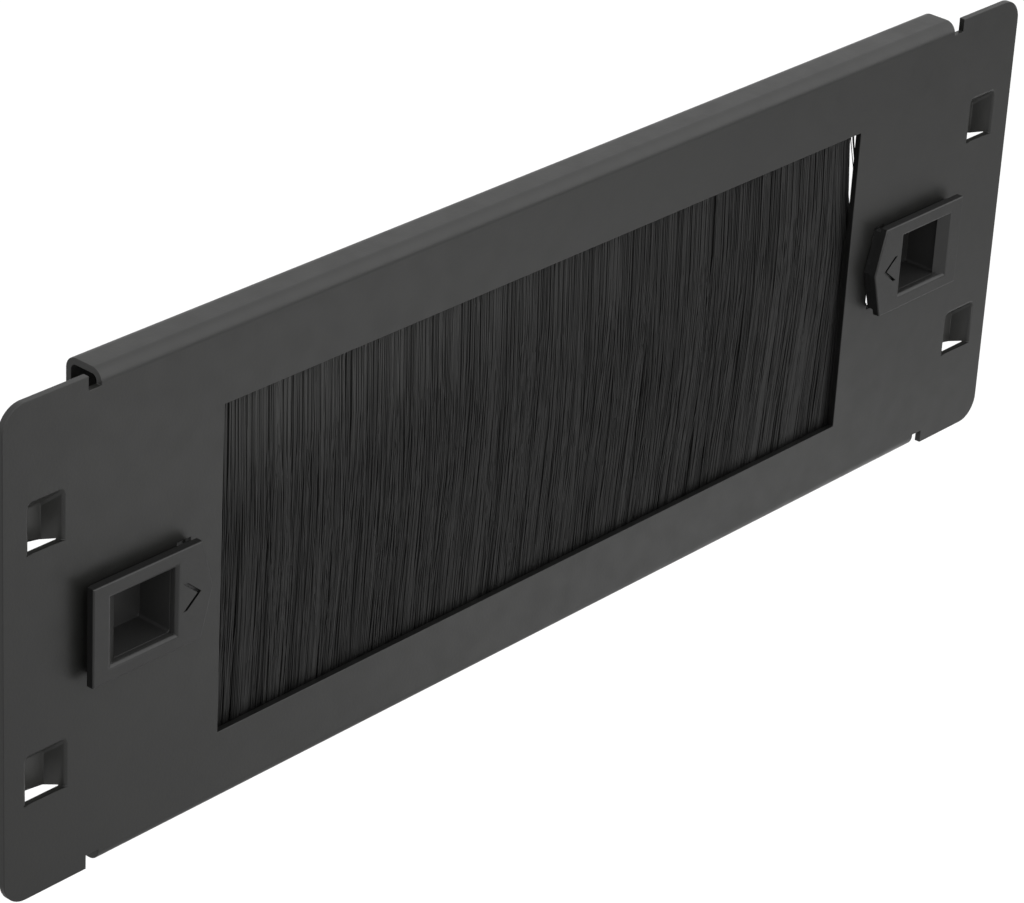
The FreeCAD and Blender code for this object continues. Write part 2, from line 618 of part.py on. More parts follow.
def make_latch_spring(name, side):
    """A compression spring between the slider's seat and the spring stop."""
    helix = DOC.addObject("Part::Helix", "spring_path_" + name)
    coil_radius = size("spring_radius - spring_wire_radius")
    free = f"({STOP_FACE} - {SPRING_OUT} - {size('2 * spring_gap')} - {size('2 * spring_wire_radius')})"
    helix.setExpression("Radius", coil_radius)
    helix.setExpression("Height", free)
    helix.setExpression("Pitch", f"{free} / {size('spring_turns')}")
    wire = DOC.addObject("Part::RegularPolygon", "spring_wire_" + name)
    wire.Polygon = SPRING_WIRE_SIDES
    wire.setExpression("Circumradius", size("spring_wire_radius"))
    wire.Placement = FreeCAD.Placement(VECTOR(0, 0, 0), FreeCAD.Rotation(VECTOR(1, 0, 0), 90))
    wire.setExpression("Placement.Base.x", coil_radius)
    DOC.recompute()
    spring = DOC.addObject("Part::Sweep", "latch_spring_" + name)
    spring.Label = "latch_spring_" + name
    spring.Sections = [wire]
    spring.Spine = (helix, [])
    spring.Solid = True
    spring.Frenet = True
    spring.Placement = FreeCAD.Placement(VECTOR(0, 0, 0), FreeCAD.Rotation(VECTOR(0, 1, 0), 90))
    start = f"({SPRING_OUT} + {size('spring_gap + spring_wire_radius')})"
    if side > 0:
        start = f"({start} + {free})"
    spring.setExpression("Placement.Base.x", from_end(side, start))
    spring.setExpression("Placement.Base.y", SPRING_AXIS)
    DOC.recompute()
    return spring


def make_brush_holder():
    """The bent channel that grips the fibres: upright legs that turn in to a narrower mouth."""
    holder = body("brush_holder")
    profile = sketch_on(holder, "YZ_Plane", "holder_profile")
    wall = size("holder_wall")
    outer = size("(channel_depth - 2 * sheet_thickness) / 2 - holder_gap")
    inner = f"({outer} - {wall})"
    mouth_inner = size("fibre_thickness / 2 + fibre_gap")
    mouth_outer = f"({mouth_inner} + {wall})"
    shoulder = f"({HOLDER_TOP} - {size('holder_shoulder')})"
    under = f"({HOLDER_TOP} - {wall})"
    right = [(outer, HOLDER_TOP), (outer, shoulder), (mouth_outer, HOLDER_MOUTH),
             (mouth_inner, HOLDER_MOUTH), (inner, shoulder), (inner, under)]
    points = [(f"({CHANNEL_MIDDLE} + {away})", up) for away, up in right]
    points += [(f"({CHANNEL_MIDDLE} - {away})", up) for away, up in reversed(right)]
    polygon(profile, points)
    pad(holder, profile, f"2 * {BRUSH_END}", symmetric=True)
    for name, away, up, radius in (
            ("holder_corners", outer, HOLDER_TOP, size("holder_radius")),
            ("holder_corners_inside", inner, under, size("holder_radius - holder_wall"))):
        pair = ((f"({CHANNEL_MIDDLE} + {away})", up), (f"({CHANNEL_MIDDLE} - {away})", up))
        round_edges(holder, name, lengthwise(holder, *pair), radius)
    return holder


FOLD_TOP = f"({HOLDER_TOP} - {size('holder_wall + fibre_gap')})"
CORE_HEIGHT = f"({FOLD_TOP} - {size('fibre_thickness / 2')})"


def make_core_wire():
    """The wire inside the holder that the fibres are folded over."""
    core = body("brush_core_wire")
    section = sketch_on(core, "YZ_Plane", "core_section")
    circle(section, CHANNEL_MIDDLE, CORE_HEIGHT, size("core_radius"))
    pad(core, section, f"2 * {BRUSH_END}", symmetric=True)
    return core


def uneven(step):
    """A number from 0 to 1 that looks random from one tuft to the next."""
    return 0.5 + 0.5 * math.sin(step * PATTERN_STEP) * math.cos(step * PATTERN_STEP / 5)


def solid_between(low, high):
    """The solid between two outlines that have as many points, with flat sides."""
    count = len(low)
    faces = [Part.Face(Part.makePolygon(outline + outline[:1])) for outline in (low, high)]
    for step in range(count):
        after = (step + 1) % count
        side = [low[step], low[after], high[after], high[step], low[step]]
        faces.append(Part.Face(Part.makePolygon(side)))
    return Part.makeSolid(Part.makeShell(faces))


def tuft_section(height, half):
    """The curtain's outline from above at one height: a groove on both faces between the tufts."""
    middle, length = number(CHANNEL_MIDDLE), 2 * number(BRUSH_END)
    groove, spread = number(size("tuft_groove")), number(size("tuft_spread"))
    pitch = length / TUFT_COUNT
    line = []
    for step in range(TUFT_COUNT):
        place = -length / 2 + step * pitch
        crest = half - spread * uneven(step)
        line += [(place, half - groove), (place + pitch / 4, crest), (place + 3 * pitch / 4, crest)]
    line.append((length / 2, half - groove))
    front = [VECTOR(place, middle - away, height) for place, away in line]
    back = [VECTOR(place, middle + away, height) for place, away in reversed(line)]
    return front + back


def ragged_outline(tip, top):
    """The curtain's outline from the front: tufts of uneven length with a slit between each two."""
    length, slit = 2 * number(BRUSH_END), number(size("tuft_slit_width"))
    low, tall = number(size("tuft_slit_low")), number(size("tuft_slit_high"))
    trim = number(size("tuft_trim"))
    pitch = length / TUFT_COUNT
    points = [VECTOR(-length / 2, 0, top)]
    for step in range(TUFT_COUNT):
        place = -length / 2 + step * pitch
        end = tip + trim * uneven(step)
        slit_top = tip + low + (tall - low) * uneven(step + 3)
        points += [VECTOR(place + slit / 2, 0, end), VECTOR(place + pitch - slit / 2, 0, end),
                   VECTOR(place + pitch, 0, slit_top)]
    points[-1] = VECTOR(length / 2, 0, top)
    points[1] = VECTOR(-length / 2, 0, points[1].z)
    points[-2] = VECTOR(length / 2, 0, points[-2].z)
    return points + points[:1]


def make_bristle_curtain():
    """The fibres: folded over the core wire, tapering to a ragged edge, in grooved tufts."""
    middle, core_height, length = number(CHANNEL_MIDDLE), number(CORE_HEIGHT), 2 * number(BRUSH_END)
    half, half_tip = number(size("fibre_thickness / 2")), number(size("fibre_tip_thickness / 2"))
    mouth = number(HOLDER_MOUTH)
    tip = number(WINDOW_BOTTOM) - number(size("fibre_overlap"))
    groove = number(size("tuft_groove"))

    grooves_end = mouth - groove
    tufts = solid_between(tuft_section(tip, half_tip), tuft_section(grooves_end, half))
    comb = Part.Face(Part.makePolygon(ragged_outline(tip, grooves_end)))
    comb.translate(VECTOR(0, middle - 2 * half, 0))
    tufts = tufts.common(comb.extrude(VECTOR(0, 4 * half, 0)))

    left, right = VECTOR(0, middle - half, core_height), VECTOR(0, middle + half, core_height)
    fold = Part.Arc(left, VECTOR(0, middle, core_height + half), right).toShape()
    low_right, low_left = VECTOR(0, middle + half, grooves_end), VECTOR(0, middle - half, grooves_end)
    root = Part.Face(Part.Wire([fold, Part.makeLine(right, low_right),
                                Part.makeLine(low_right, low_left), Part.makeLine(low_left, left)]))
    root.translate(VECTOR(-length / 2, 0, 0))
    root = root.extrude(VECTOR(length, 0, 0))
    bore = Part.makeCylinder(number(size("core_radius + fibre_gap")), length,
                             VECTOR(-length / 2, middle, core_height), VECTOR(1, 0, 0))

    piece = DOC.addObject("Part::Feature", "bristle_curtain")
    piece.Label = "bristle_curtain"
    piece.Shape = root.cut(bore).fuse(tufts).Solids[0]
    piece.Placement = FreeCAD.Placement()
    return piece


def make_parts():
    """Every separate piece of the panel."""
    pieces = [make_front_panel(), make_brush_holder(), make_core_wire(), make_bristle_curtain()]
    for name, side in SIDES:
        pieces += [make_spring_stop(name, side), make_latch_slider(name, side),
                   make_latch_cover(name, side), make_latch_spring(name, side)]
    return pieces


def check(pieces):
    """Stop unless every object of the document was made and every piece is a valid solid."""
    DOC.recompute()
    failed = [item.Name for item in DOC.Objects if {"Invalid", "Error"} & set(item.State)]
    if failed:
        raise ValueError("not made: " + ", ".join(failed))
    for piece in pieces:
        shape = piece.Shape
        if shape.isNull() or not shape.isValid() or len(shape.Solids) != 1:
            raise ValueError(f"{piece.Label} is not one valid solid")


def export(pieces):
    """One file for each piece, named after it."""
    os.makedirs("parts", exist_ok=True)
    for piece in pieces:
        piece.Shape.exportStep(f"parts/{piece.Label}.step")


PIECES = make_parts()
check(PIECES)
export(PIECES)
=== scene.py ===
"""Looks of a 10-inch rack panel: coated sheet, brush-filled cable window, two sliding latches.

Lengths are metres in the panel's own frame: +X along its width, +Y to the back, +Z up.
"""

import math
import random

import bmesh
import bpy
from bpy.props import FloatProperty, FloatVectorProperty, IntProperty, PointerProperty
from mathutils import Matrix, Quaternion, Vector


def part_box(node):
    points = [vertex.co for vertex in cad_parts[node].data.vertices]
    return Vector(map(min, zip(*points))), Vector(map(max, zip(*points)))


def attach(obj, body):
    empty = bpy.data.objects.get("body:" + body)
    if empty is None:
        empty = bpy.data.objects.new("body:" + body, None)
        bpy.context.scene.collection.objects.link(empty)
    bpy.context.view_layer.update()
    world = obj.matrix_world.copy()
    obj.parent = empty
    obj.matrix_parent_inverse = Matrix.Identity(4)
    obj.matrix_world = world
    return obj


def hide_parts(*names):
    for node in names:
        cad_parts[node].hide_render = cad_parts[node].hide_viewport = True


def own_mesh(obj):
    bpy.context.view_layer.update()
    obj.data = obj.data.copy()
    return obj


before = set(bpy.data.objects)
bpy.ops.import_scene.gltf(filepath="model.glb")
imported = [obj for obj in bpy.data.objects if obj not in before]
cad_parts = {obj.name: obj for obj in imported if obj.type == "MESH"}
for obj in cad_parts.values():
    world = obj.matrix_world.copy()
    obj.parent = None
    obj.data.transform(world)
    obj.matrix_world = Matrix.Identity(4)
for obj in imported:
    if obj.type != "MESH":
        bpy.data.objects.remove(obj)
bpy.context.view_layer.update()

bl_info = {
    "name": "Rack brush panel",
    "version": (1, 0, 0),
    "blender": (4, 5, 0),
    "location": "3D View > Sidebar > Rack Panel",
    "description": "Coated sheet, brush, latches and springs of a small rack panel and its studio",
    "category": "Add Mesh",
}

MM = 0.001
SIDES = (("left", -1), ("right", 1))
PANEL_LOW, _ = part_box("front_panel")
BRUSH_LOW, BRUSH_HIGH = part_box("bristle_curtain")
HOLDER_LOW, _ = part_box("brush_holder")
WINDOW_TOP = 29.4 * MM

# Sockets of a Mix node, which has several of the same name.
MIX_FACTOR = 0
NUMBER_FIRST, NUMBER_SECOND, NUMBER_RESULT = 2, 3, 0
COLOUR_FIRST, COLOUR_SECOND, COLOUR_RESULT = 6, 7, 2


def length_property(name, millimetres, description):
    """A length that a user sees in the scene's unit."""
    return FloatProperty(name=name, description=description, default=millimetres * MM,
                         unit="LENGTH", precision=5)


def colour_property(name, value, description):
    """A linear colour."""
    return FloatVectorProperty(name=name, description=description, default=value,
                               subtype="COLOR", size=3, min=0.0, max=1.0)


class RackPanelCoat(bpy.types.PropertyGroup):
    """Black powder coat on the folded sheet and the spring stops."""
    dark: colour_property("Dark patches", (0.0074, 0.0075, 0.0067), "Coat where it is darkest")
    light: colour_property("Light patches", (0.0108, 0.0109, 0.0098), "Coat where it is lightest")
    smooth: FloatProperty(name="Smooth", description="Least roughness of the coat", default=0.36)
    rough: FloatProperty(name="Rough", description="Most roughness of the coat", default=0.44)
    index: FloatProperty(name="Index", description="Refractive index of the coat", default=1.62)
    # Painted light: a lighter coat colour inside the hooks stands in for light reaching into them.
    hook_light: colour_property("Thin coat", (0.036, 0.036, 0.034), "Coat where the hooks are drawn")
    # Painted shade: a darker coat on the window's cut edges, where little light falls.
    cut: colour_property("Cut edges", (0.0020, 0.0020, 0.0018), "Coat on the window's cut edges")
    grain: length_property("Grain", 0.55, "Width of one bump of the coat")
    relief: length_property("Relief", 0.012, "Height of the coat's bumps")
    edge: length_property("Edge", 0.12, "Rounding of the sheet's cut edges under the coat")


class RackPanelPlastic(bpy.types.PropertyGroup):
    """Black moulded plastic of the latches."""
    dark: colour_property("Dark patches", (0.0084, 0.0084, 0.0079), "Plastic where it is darkest")
    light: colour_property("Light patches", (0.0114, 0.0114, 0.0108),
                           "Plastic where it is lightest")
    smooth: FloatProperty(name="Smooth", description="Least roughness", default=0.36)
    rough: FloatProperty(name="Rough", description="Most roughness", default=0.44)
    index: FloatProperty(name="Index", description="Refractive index of the plastic", default=1.60)
    # Painted shade: a darker plastic on the covers' outer sides, where little light falls.
    rim_shade: colour_property("Rim", (0.0020, 0.0020, 0.0019), "Plastic on the covers' narrow sides")
    # Painted light: a lighter plastic inside the finger recesses, where light reaches in.
    cup_painted_light: colour_property("Cup", (0.0250, 0.0250, 0.0245), "Plastic inside the finger cups")
    grain: length_property("Grain", 0.25, "Width of one bump of the mould's texture")
    relief: length_property("Relief", 0.004, "Height of the mould's texture")
    edge: length_property("Edge", 0.06, "Rounding of the mouldings' edges")


class RackPanelBrush(bpy.types.PropertyGroup):
    """Nylon filaments that hang from the holder behind the window."""
    dark: colour_property("Dark strands", (0.0094, 0.0094, 0.0092),
                          "Colour of the darkest strands")
    light: colour_property("Light strands", (0.0256, 0.0256, 0.0250),
                           "Colour of the lightest strands")
    roughness: FloatProperty(name="Roughness", description="Roughness of a strand", default=0.42)
    strands: IntProperty(name="Strands", description="Strands in each of the three rows",
                         default=3000)
    width: length_property("Strand width", 0.21, "Diameter of a strand")
    clump: length_property("Clump spacing", 1.5, "Distance from one clump of strands to the next")
    gather: FloatProperty(name="Gather", description="How far the tips draw into clumps",
                          default=0.16)
    stray: FloatProperty(name="Stray", description="Share of strands that cross the others",
                         default=0.10)
    swell: length_property("Swell", 1.3, "How far the strands bow to the right at mid-height")
    lean: length_property("Lean", 2.6, "How far the tips hang to the left on the right-hand side")
    forward: length_property("Forward", 0.5, "How far the tips of the front row come forward")
    splay: length_property("Splay", 4.2, "How far the last strands on the right spread outwards")


class RackPanelStage(bpy.types.PropertyGroup):
    """Camera, floor and surroundings of the studio."""
    azimuth: FloatProperty(name="Azimuth", description="Camera's turn from straight ahead",
                           default=math.radians(-49.305), subtype="ANGLE")
    elevation: FloatProperty(name="Elevation", description="Camera's height above the horizon",
                             default=math.radians(27.56), subtype="ANGLE")
    roll: FloatProperty(name="Roll", description="Camera's turn about its own axis",
                        default=math.radians(3.323), subtype="ANGLE")
    distance: length_property("Distance", 736.81, "Camera to the point it looks at")
    target: FloatVectorProperty(name="Target", description="Point the camera looks at", size=3,
                                default=(-6.81 * MM, 2.7 * MM, -6.53 * MM), unit="LENGTH")
    lens: FloatProperty(name="Lens", description="Focal length in millimetres on a 36 mm sensor",
                        default=150.29)
    floor: colour_property("Floor", (1.0, 1.0, 1.0), "Colour of the floor")
    shade: FloatProperty(name="Floor falloff", default=0.36, min=0.0, max=1.0,
                         description="Brightness that the floor keeps far to the right")
    near: FloatProperty(name="Near floor", default=0.42, min=0.0, max=1.0,
                        description="Brightness of the floor under the panel")
    ahead: FloatProperty(name="Ahead", default=1.36,
                         description="Brightness of the surroundings in front of the panel")
    behind: FloatProperty(name="Behind", default=0.74,
                          description="Brightness of the surroundings behind the panel")
    drop: length_property("Floor drop", 320.0, "Panel's lower edge to the floor")


def shader_group(name, inputs, outputs):
    """An empty node group with named sockets, and its input and output nodes."""
    group = bpy.data.node_groups.new(name, "ShaderNodeTree")
    for label, kind, default in inputs:
        socket = group.interface.new_socket(name=label, in_out="INPUT", socket_type=kind)
        if default is not None:
            socket.default_value = default
    for label, kind in outputs:
        group.interface.new_socket(name=label, in_out="OUTPUT", socket_type=kind)
    return group, group.nodes.new("NodeGroupInput"), group.nodes.new("NodeGroupOutput")


def maths(tree, operation, first, second):
    """A maths node whose operands are sockets or plain numbers."""
    node = tree.nodes.new("ShaderNodeMath")
    node.operation = operation
    for slot, operand in enumerate((first, second)):
        if isinstance(operand, (int, float)):
            node.inputs[slot].default_value = operand
        else:
            tree.links.new(operand, node.inputs[slot])
    return node.outputs[0]


def noise(tree, vector, scale, detail):
    """A noise texture that reads a vector socket at the scale that another socket gives."""
    node = tree.nodes.new("ShaderNodeTexNoise")
    node.inputs["Detail"].default_value = detail
    tree.links.new(vector, node.inputs["Vector"])
    tree.links.new(scale, node.inputs["Scale"])
    return node.outputs["Fac"]


def map_range(tree, value, start, end):
    """A Map Range node that reads a value between two limits."""
    ramp = tree.nodes.new("ShaderNodeMapRange")
    ramp.inputs["From Min"].default_value = start
    ramp.inputs["From Max"].default_value = end
    tree.links.new(value, ramp.inputs["Value"])
    return ramp


def soft_step(tree, value, start, end, low, high):
    """A smooth change from one level to another as a value goes from start to end."""
    ramp = map_range(tree, value, start, end)
    ramp.interpolation_type = "SMOOTHSTEP"
    ramp.inputs["To Min"].default_value = low
    ramp.inputs["To Max"].default_value = high
    return ramp.outputs["Result"]


def mix_colours(tree, factor, first, second, clamp=True):
    """A colour between two, each of which is a socket or a plain colour."""
    node = tree.nodes.new("ShaderNodeMix")
    node.data_type = "RGBA"
    node.clamp_factor = clamp
    tree.links.new(factor, node.inputs[MIX_FACTOR])
    for slot, colour in ((COLOUR_FIRST, first), (COLOUR_SECOND, second)):
        if isinstance(colour, bpy.types.NodeSocket):
            tree.links.new(colour, node.inputs[slot])
        else:
            node.inputs[slot].default_value = (*colour, 1.0)
    return node.outputs[COLOUR_RESULT]


def split_place(tree, kind="Object"):
    """Texture coordinates of one kind as X, Y and Z sockets."""
    place = tree.nodes.new("ShaderNodeTexCoord")
    split = tree.nodes.new("ShaderNodeSeparateXYZ")
    tree.links.new(place.outputs[kind], split.inputs["Vector"])
    return split.outputs


# Share of the finer noise in the grain, the part of the noise that patches and gloss spread
# over, and how much finer the gloss changes than the colour.
FINE_SHARE = 0.35
PATCH_RANGE = (0.35, 0.65)
GLOSS_RANGE = (0.3, 0.7)
GLOSS_FINENESS = 9.0


def make_grain_group():
    """Fine bumps of a coat or a mould's texture: a rounded cell pattern with finer noise on it."""
    group, entry, out = shader_group(
        "coat_grain",
        [("Vector", "NodeSocketVector", None), ("Grain", "NodeSocketFloat", 0.0005),
         ("Fineness", "NodeSocketFloat", 3.0)],
        [("Height", "NodeSocketFloat")])
    scale = maths(group, "DIVIDE", 1.0, entry.outputs["Grain"])
    coarse = noise(group, entry.outputs["Vector"], scale, detail=1.0)
    fine_scale = maths(group, "MULTIPLY", scale, entry.outputs["Fineness"])
    fine = noise(group, entry.outputs["Vector"], fine_scale, detail=1.0)
    small = maths(group, "MULTIPLY", fine, FINE_SHARE)
    group.links.new(maths(group, "ADD", coarse, small), out.inputs["Height"])


def make_patches_group():
    """Slow changes of colour and gloss across a large black surface."""
    group, entry, out = shader_group(
        "soft_patches",
        [("Vector", "NodeSocketVector", None), ("Patch", "NodeSocketFloat", 0.02),
         ("Dark", "NodeSocketColor", None), ("Light", "NodeSocketColor", None),
         ("Smooth", "NodeSocketFloat", 0.4), ("Rough", "NodeSocketFloat", 0.5)],
        [("Color", "NodeSocketColor"), ("Roughness", "NodeSocketFloat")])
    scale = maths(group, "DIVIDE", 1.0, entry.outputs["Patch"])
    slow = noise(group, entry.outputs["Vector"], scale, detail=3.0)
    fine_scale = maths(group, "MULTIPLY", scale, GLOSS_FINENESS)
    fine = noise(group, entry.outputs["Vector"], fine_scale, detail=2.0)
    ramp = map_range(group, slow, *PATCH_RANGE)
    tone = mix_colours(group, ramp.outputs["Result"], entry.outputs["Dark"],
                       entry.outputs["Light"])
    group.links.new(tone, out.inputs["Color"])
    gloss = map_range(group, fine, *GLOSS_RANGE)
    group.links.new(entry.outputs["Smooth"], gloss.inputs["To Min"])
    group.links.new(entry.outputs["Rough"], gloss.inputs["To Max"])
    group.links.new(gloss.outputs["Result"], out.inputs["Roughness"])


def make_tone_group():
    """Painted light or shade: another tone of a black surface where a mask is set."""
    group, entry, out = shader_group(
        "painted_light_or_shade",
        [("Color", "NodeSocketColor", None), ("Tone", "NodeSocketColor", None),
         ("Mask", "NodeSocketFloat", 0.0)],
        [("Color", "NodeSocketColor")])
    toned = mix_colours(group, entry.outputs["Mask"], entry.outputs["Color"],
                        entry.outputs["Tone"])
    group.links.new(toned, out.inputs["Color"])


def new_material(name):
    """A material with a Principled shader, its tree and that shader."""
    material = bpy.data.materials.new(name)
    material.use_nodes = True
    tree = material.node_tree
    return material, tree, tree.nodes["Principled BSDF"]


def place_group(tree, group, values):
    """A node of a group, with values on its inputs and object coordinates on its vector."""
    node = tree.nodes.new("ShaderNodeGroup")
    node.node_tree = group
    coordinates = tree.nodes.new("ShaderNodeTexCoord")
    tree.links.new(coordinates.outputs["Object"], node.inputs["Vector"])
    for name, value in values.items():
        node.inputs[name].default_value = value
    return node


def add_bump(tree, shader, height, relief):
    """Bumps of a real height on a shader's normal."""
    bump = tree.nodes.new("ShaderNodeBump")
    bump.inputs["Strength"].default_value = 1.0
    bump.inputs["Distance"].default_value = relief
    tree.links.new(height, bump.inputs["Height"])
    tree.links.new(bump.outputs["Normal"], shader.inputs["Normal"])


def make_black_finish(name, settings, patch, fineness):
    """A near-black satin finish: soft patches of colour and gloss over a fine grain."""
    material, tree, shader = new_material(name)
    patches = place_group(tree, bpy.data.node_groups["soft_patches"], {
        "Patch": patch, "Dark": (*settings.dark, 1.0), "Light": (*settings.light, 1.0),
        "Smooth": settings.smooth, "Rough": settings.rough})
    grain = place_group(tree, bpy.data.node_groups["coat_grain"], {
        "Grain": settings.grain, "Fineness": fineness})
    tree.links.new(patches.outputs["Color"], shader.inputs["Base Color"])
    tree.links.new(patches.outputs["Roughness"], shader.inputs["Roughness"])
    shader.inputs["IOR"].default_value = settings.index
    add_bump(tree, shader, grain.outputs["Height"], settings.relief)
    return material


def tone_where(tree, attribute, colour):
    """Another colour where the piece's attribute is set: painted light or shade."""
    base = tree.nodes["Principled BSDF"].inputs["Base Color"]
    mask = tree.nodes.new("ShaderNodeAttribute")
    mask.attribute_name = attribute
    toned = tree.nodes.new("ShaderNodeGroup")
    toned.node_tree = bpy.data.node_groups["painted_light_or_shade"]
    toned.inputs["Tone"].default_value = (*colour, 1.0)
    tree.links.new(mask.outputs["Fac"], toned.inputs["Mask"])
    tree.links.new(base.links[0].from_socket, toned.inputs["Color"])
    tree.links.new(toned.outputs["Color"], base)


METAL_PATCH = 0.6 * MM


def make_bare_metal(name, dark, light, smooth, rough, stretch):
    """Bare metal with drawing lines along X."""
    _, tree, shader = new_material(name)
    shader.inputs["Metallic"].default_value = 1.0
    patches = place_group(tree, bpy.data.node_groups["soft_patches"], {
        "Patch": METAL_PATCH, "Dark": (*dark, 1.0), "Light": (*light, 1.0),
        "Smooth": smooth, "Rough": rough})
    mapping = tree.nodes.new("ShaderNodeMapping")
    mapping.inputs["Scale"].default_value = (stretch, 1.0, 1.0)
    source = patches.inputs["Vector"].links[0].from_socket
    tree.links.new(source, mapping.inputs["Vector"])
    tree.links.new(mapping.outputs["Vector"], patches.inputs["Vector"])
    tree.links.new(patches.outputs["Color"], shader.inputs["Base Color"])
    tree.links.new(patches.outputs["Roughness"], shader.inputs["Roughness"])


# Painted light on the strands: lighter from this height up, by one amount at the left end
# and by another at the right of the place named second.
LIGHTER_FOOT, LIGHTER_END = 4 * MM, 0.6 * BRUSH_HIGH.x
LIGHTER_LEFT, LIGHTER_RIGHT = 2.4, 0.35


def make_strand_finish(settings):
    """Black nylon with a tone per strand, and painted light: lighter high up, most at the left."""
    _, tree, shader = new_material("black_nylon")
    tone = tree.nodes.new("ShaderNodeAttribute")
    tone.attribute_name = "strand_tone"
    place = split_place(tree)
    height = soft_step(tree, place["Z"], LIGHTER_FOOT, WINDOW_TOP, 0.0, 1.0)
    side = soft_step(tree, place["X"], BRUSH_LOW.x, LIGHTER_END, LIGHTER_LEFT, LIGHTER_RIGHT)
    level = maths(tree, "ADD", tone.outputs["Fac"], maths(tree, "MULTIPLY", height, side))
    colour = mix_colours(tree, level, settings.dark, settings.light, clamp=False)
    tree.links.new(colour, shader.inputs["Base Color"])
    shader.inputs["Roughness"].default_value = settings.roughness


MERGE_DISTANCE = 0.002 * MM
FLAT_ANGLE, SHARP_ANGLE = math.radians(0.6), math.radians(28)
NORMAL_WEIGHT = 60


def finished_copy(node, name, body, material, edge, reshape=None):
    """A merged copy of a CAD node with its sharp edges rounded, which is shown in its place."""
    shape = bmesh.new()
    shape.from_mesh(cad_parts[node].data)
    bmesh.ops.remove_doubles(shape, verts=shape.verts, dist=MERGE_DISTANCE)
    if reshape:
        reshape(shape)
    bmesh.ops.dissolve_limit(shape, angle_limit=FLAT_ANGLE, verts=shape.verts,
                             edges=shape.edges, use_dissolve_boundaries=False)
    sharp = [item for item in shape.edges
             if len(item.link_faces) == 2 and item.calc_face_angle() > SHARP_ANGLE]
    bmesh.ops.bevel(shape, geom=sharp, offset=edge, offset_type="OFFSET", affect="EDGES",
                    segments=2, profile=0.5, material=-1, clamp_overlap=False)
    add_piece(shape, name, body, material, [node], weighted=True)


def add_piece(shape, name, body, material, replaces, weighted=False):
    """A scene object from a finished bmesh that rides on a body in place of CAD nodes."""
    mesh = bpy.data.meshes.new(name)
    shape.to_mesh(mesh)
    shape.free()
    mesh.polygons.foreach_set("use_smooth", [True] * len(mesh.polygons))
    mesh.materials.append(material)
    piece = bpy.data.objects.new(name, mesh)
    bpy.context.scene.collection.objects.link(piece)
    if weighted:
        modifier = piece.modifiers.new("face_weighted_normals", "WEIGHTED_NORMAL")
        modifier.mode = "FACE_AREA"
        modifier.weight = NORMAL_WEIGHT
        modifier.keep_sharp = False
    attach(piece, body)
    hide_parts(*replaces)
    return piece


def material_of(name):
    """A material made earlier, by its name."""
    return bpy.data.materials[name]


class RACKPANEL_OT_finishes(bpy.types.Operator):
    """Make every material and the node groups they share"""
    bl_idname = "rackpanel.finishes"
    bl_label = "Make finishes"

    def execute(self, context):
        scene = context.scene
        make_grain_group()
        make_patches_group()
        make_tone_group()
        coat = make_black_finish("powder_coat", scene.rack_coat, patch=38 * MM, fineness=2.7)
        # Painted light inside the hooks.
        tone_where(coat.node_tree, "hook_painted_light", scene.rack_coat.hook_light)
        # Painted shade on the window's cut edges.
        tone_where(coat.node_tree, "painted_shade", scene.rack_coat.cut)
        plastic = make_black_finish("moulded_plastic", scene.rack_plastic, patch=6 * MM,
                                    fineness=3.0)
        # Painted shade on the covers' outer sides.
        tone_where(plastic.node_tree, "painted_shade", scene.rack_plastic.rim_shade)
        # Painted light inside the finger recesses.
        tone_where(plastic.node_tree, "cup_painted_light", scene.rack_plastic.cup_painted_light)
        make_bare_metal("bent_strip", dark=(0.46, 0.46, 0.45), light=(0.62, 0.62, 0.61),
                        smooth=0.28, rough=0.42, stretch=0.02)
        make_bare_metal("drawn_wire", dark=(0.42, 0.42, 0.42), light=(0.58, 0.57, 0.56),
                        smooth=0.20, rough=0.32, stretch=0.05)
        make_strand_finish(scene.rack_brush)
        return {"FINISHED"}


# A face is upright where its normal's part along Y is less than this.
UPRIGHT = 0.2
WINDOW_EDGE_BACK, WINDOW_EDGE_END = 0.1 * MM, 1.02 * BRUSH_HIGH.x
WINDOW_EDGE_LOW, WINDOW_EDGE_HIGH = -31 * MM, 30 * MM

# The hooks: their middles, reach and foot, the tooth, and where painted light lightens the coat in
# them.
HOOK_X, HOOK_Z = 118.26 * MM, 22.225 * MM
HOOK_HALF = 5 * MM
HOOK_FOOT, FOOT_MARGIN, FOOT_FRONT = 4.45 * MM, 0.05 * MM, 0.3 * MM
TOOTH_START, HOOK_CREASE, HOOK_SLOPE = -0.6 * MM, 2.3 * MM, 1.7 * MM
HOOK_TOOTH = 0.85 * MM
CUT_DISTANCE = 0.001 * MM
HOOK_LIGHT_FRONT, HOOK_LIGHT_DEPTH = -1.1 * MM, 1.2 * MM

# The spring stops: what is farther from the middle than this moves outwards.
STOP_HALF, STOP_WING = 4 * MM, 2.3 * MM

# The latches: the pocket along X, half heights, depths, the collar's end and the arrow.
POCKET_IN, POCKET_OUT = 92.7 * MM, 107.2 * MM
HOLE_HALF, CUP_HALF = 7.5 * MM, 6.3 * MM
CUP_SIDES_BACK, CUP_FLOOR_BACK = 4.6 * MM, 4.3 * MM
COLLAR_IN, COLLAR_OUT, COLLAR_HALF = 85.8 * MM, 92.3 * MM, 8.7 * MM
COLLAR_FRONT, COLLAR_REACH = -3.25 * MM, 0.75 * MM
MARK_IN, MARK_OUT, MARK_HALF = 87 * MM, 92.3 * MM, 3.4 * MM
MARK_FRONT, MARK_BACK, MARK_DEPTH = -4.15 * MM, -3.5 * MM, 0.4 * MM


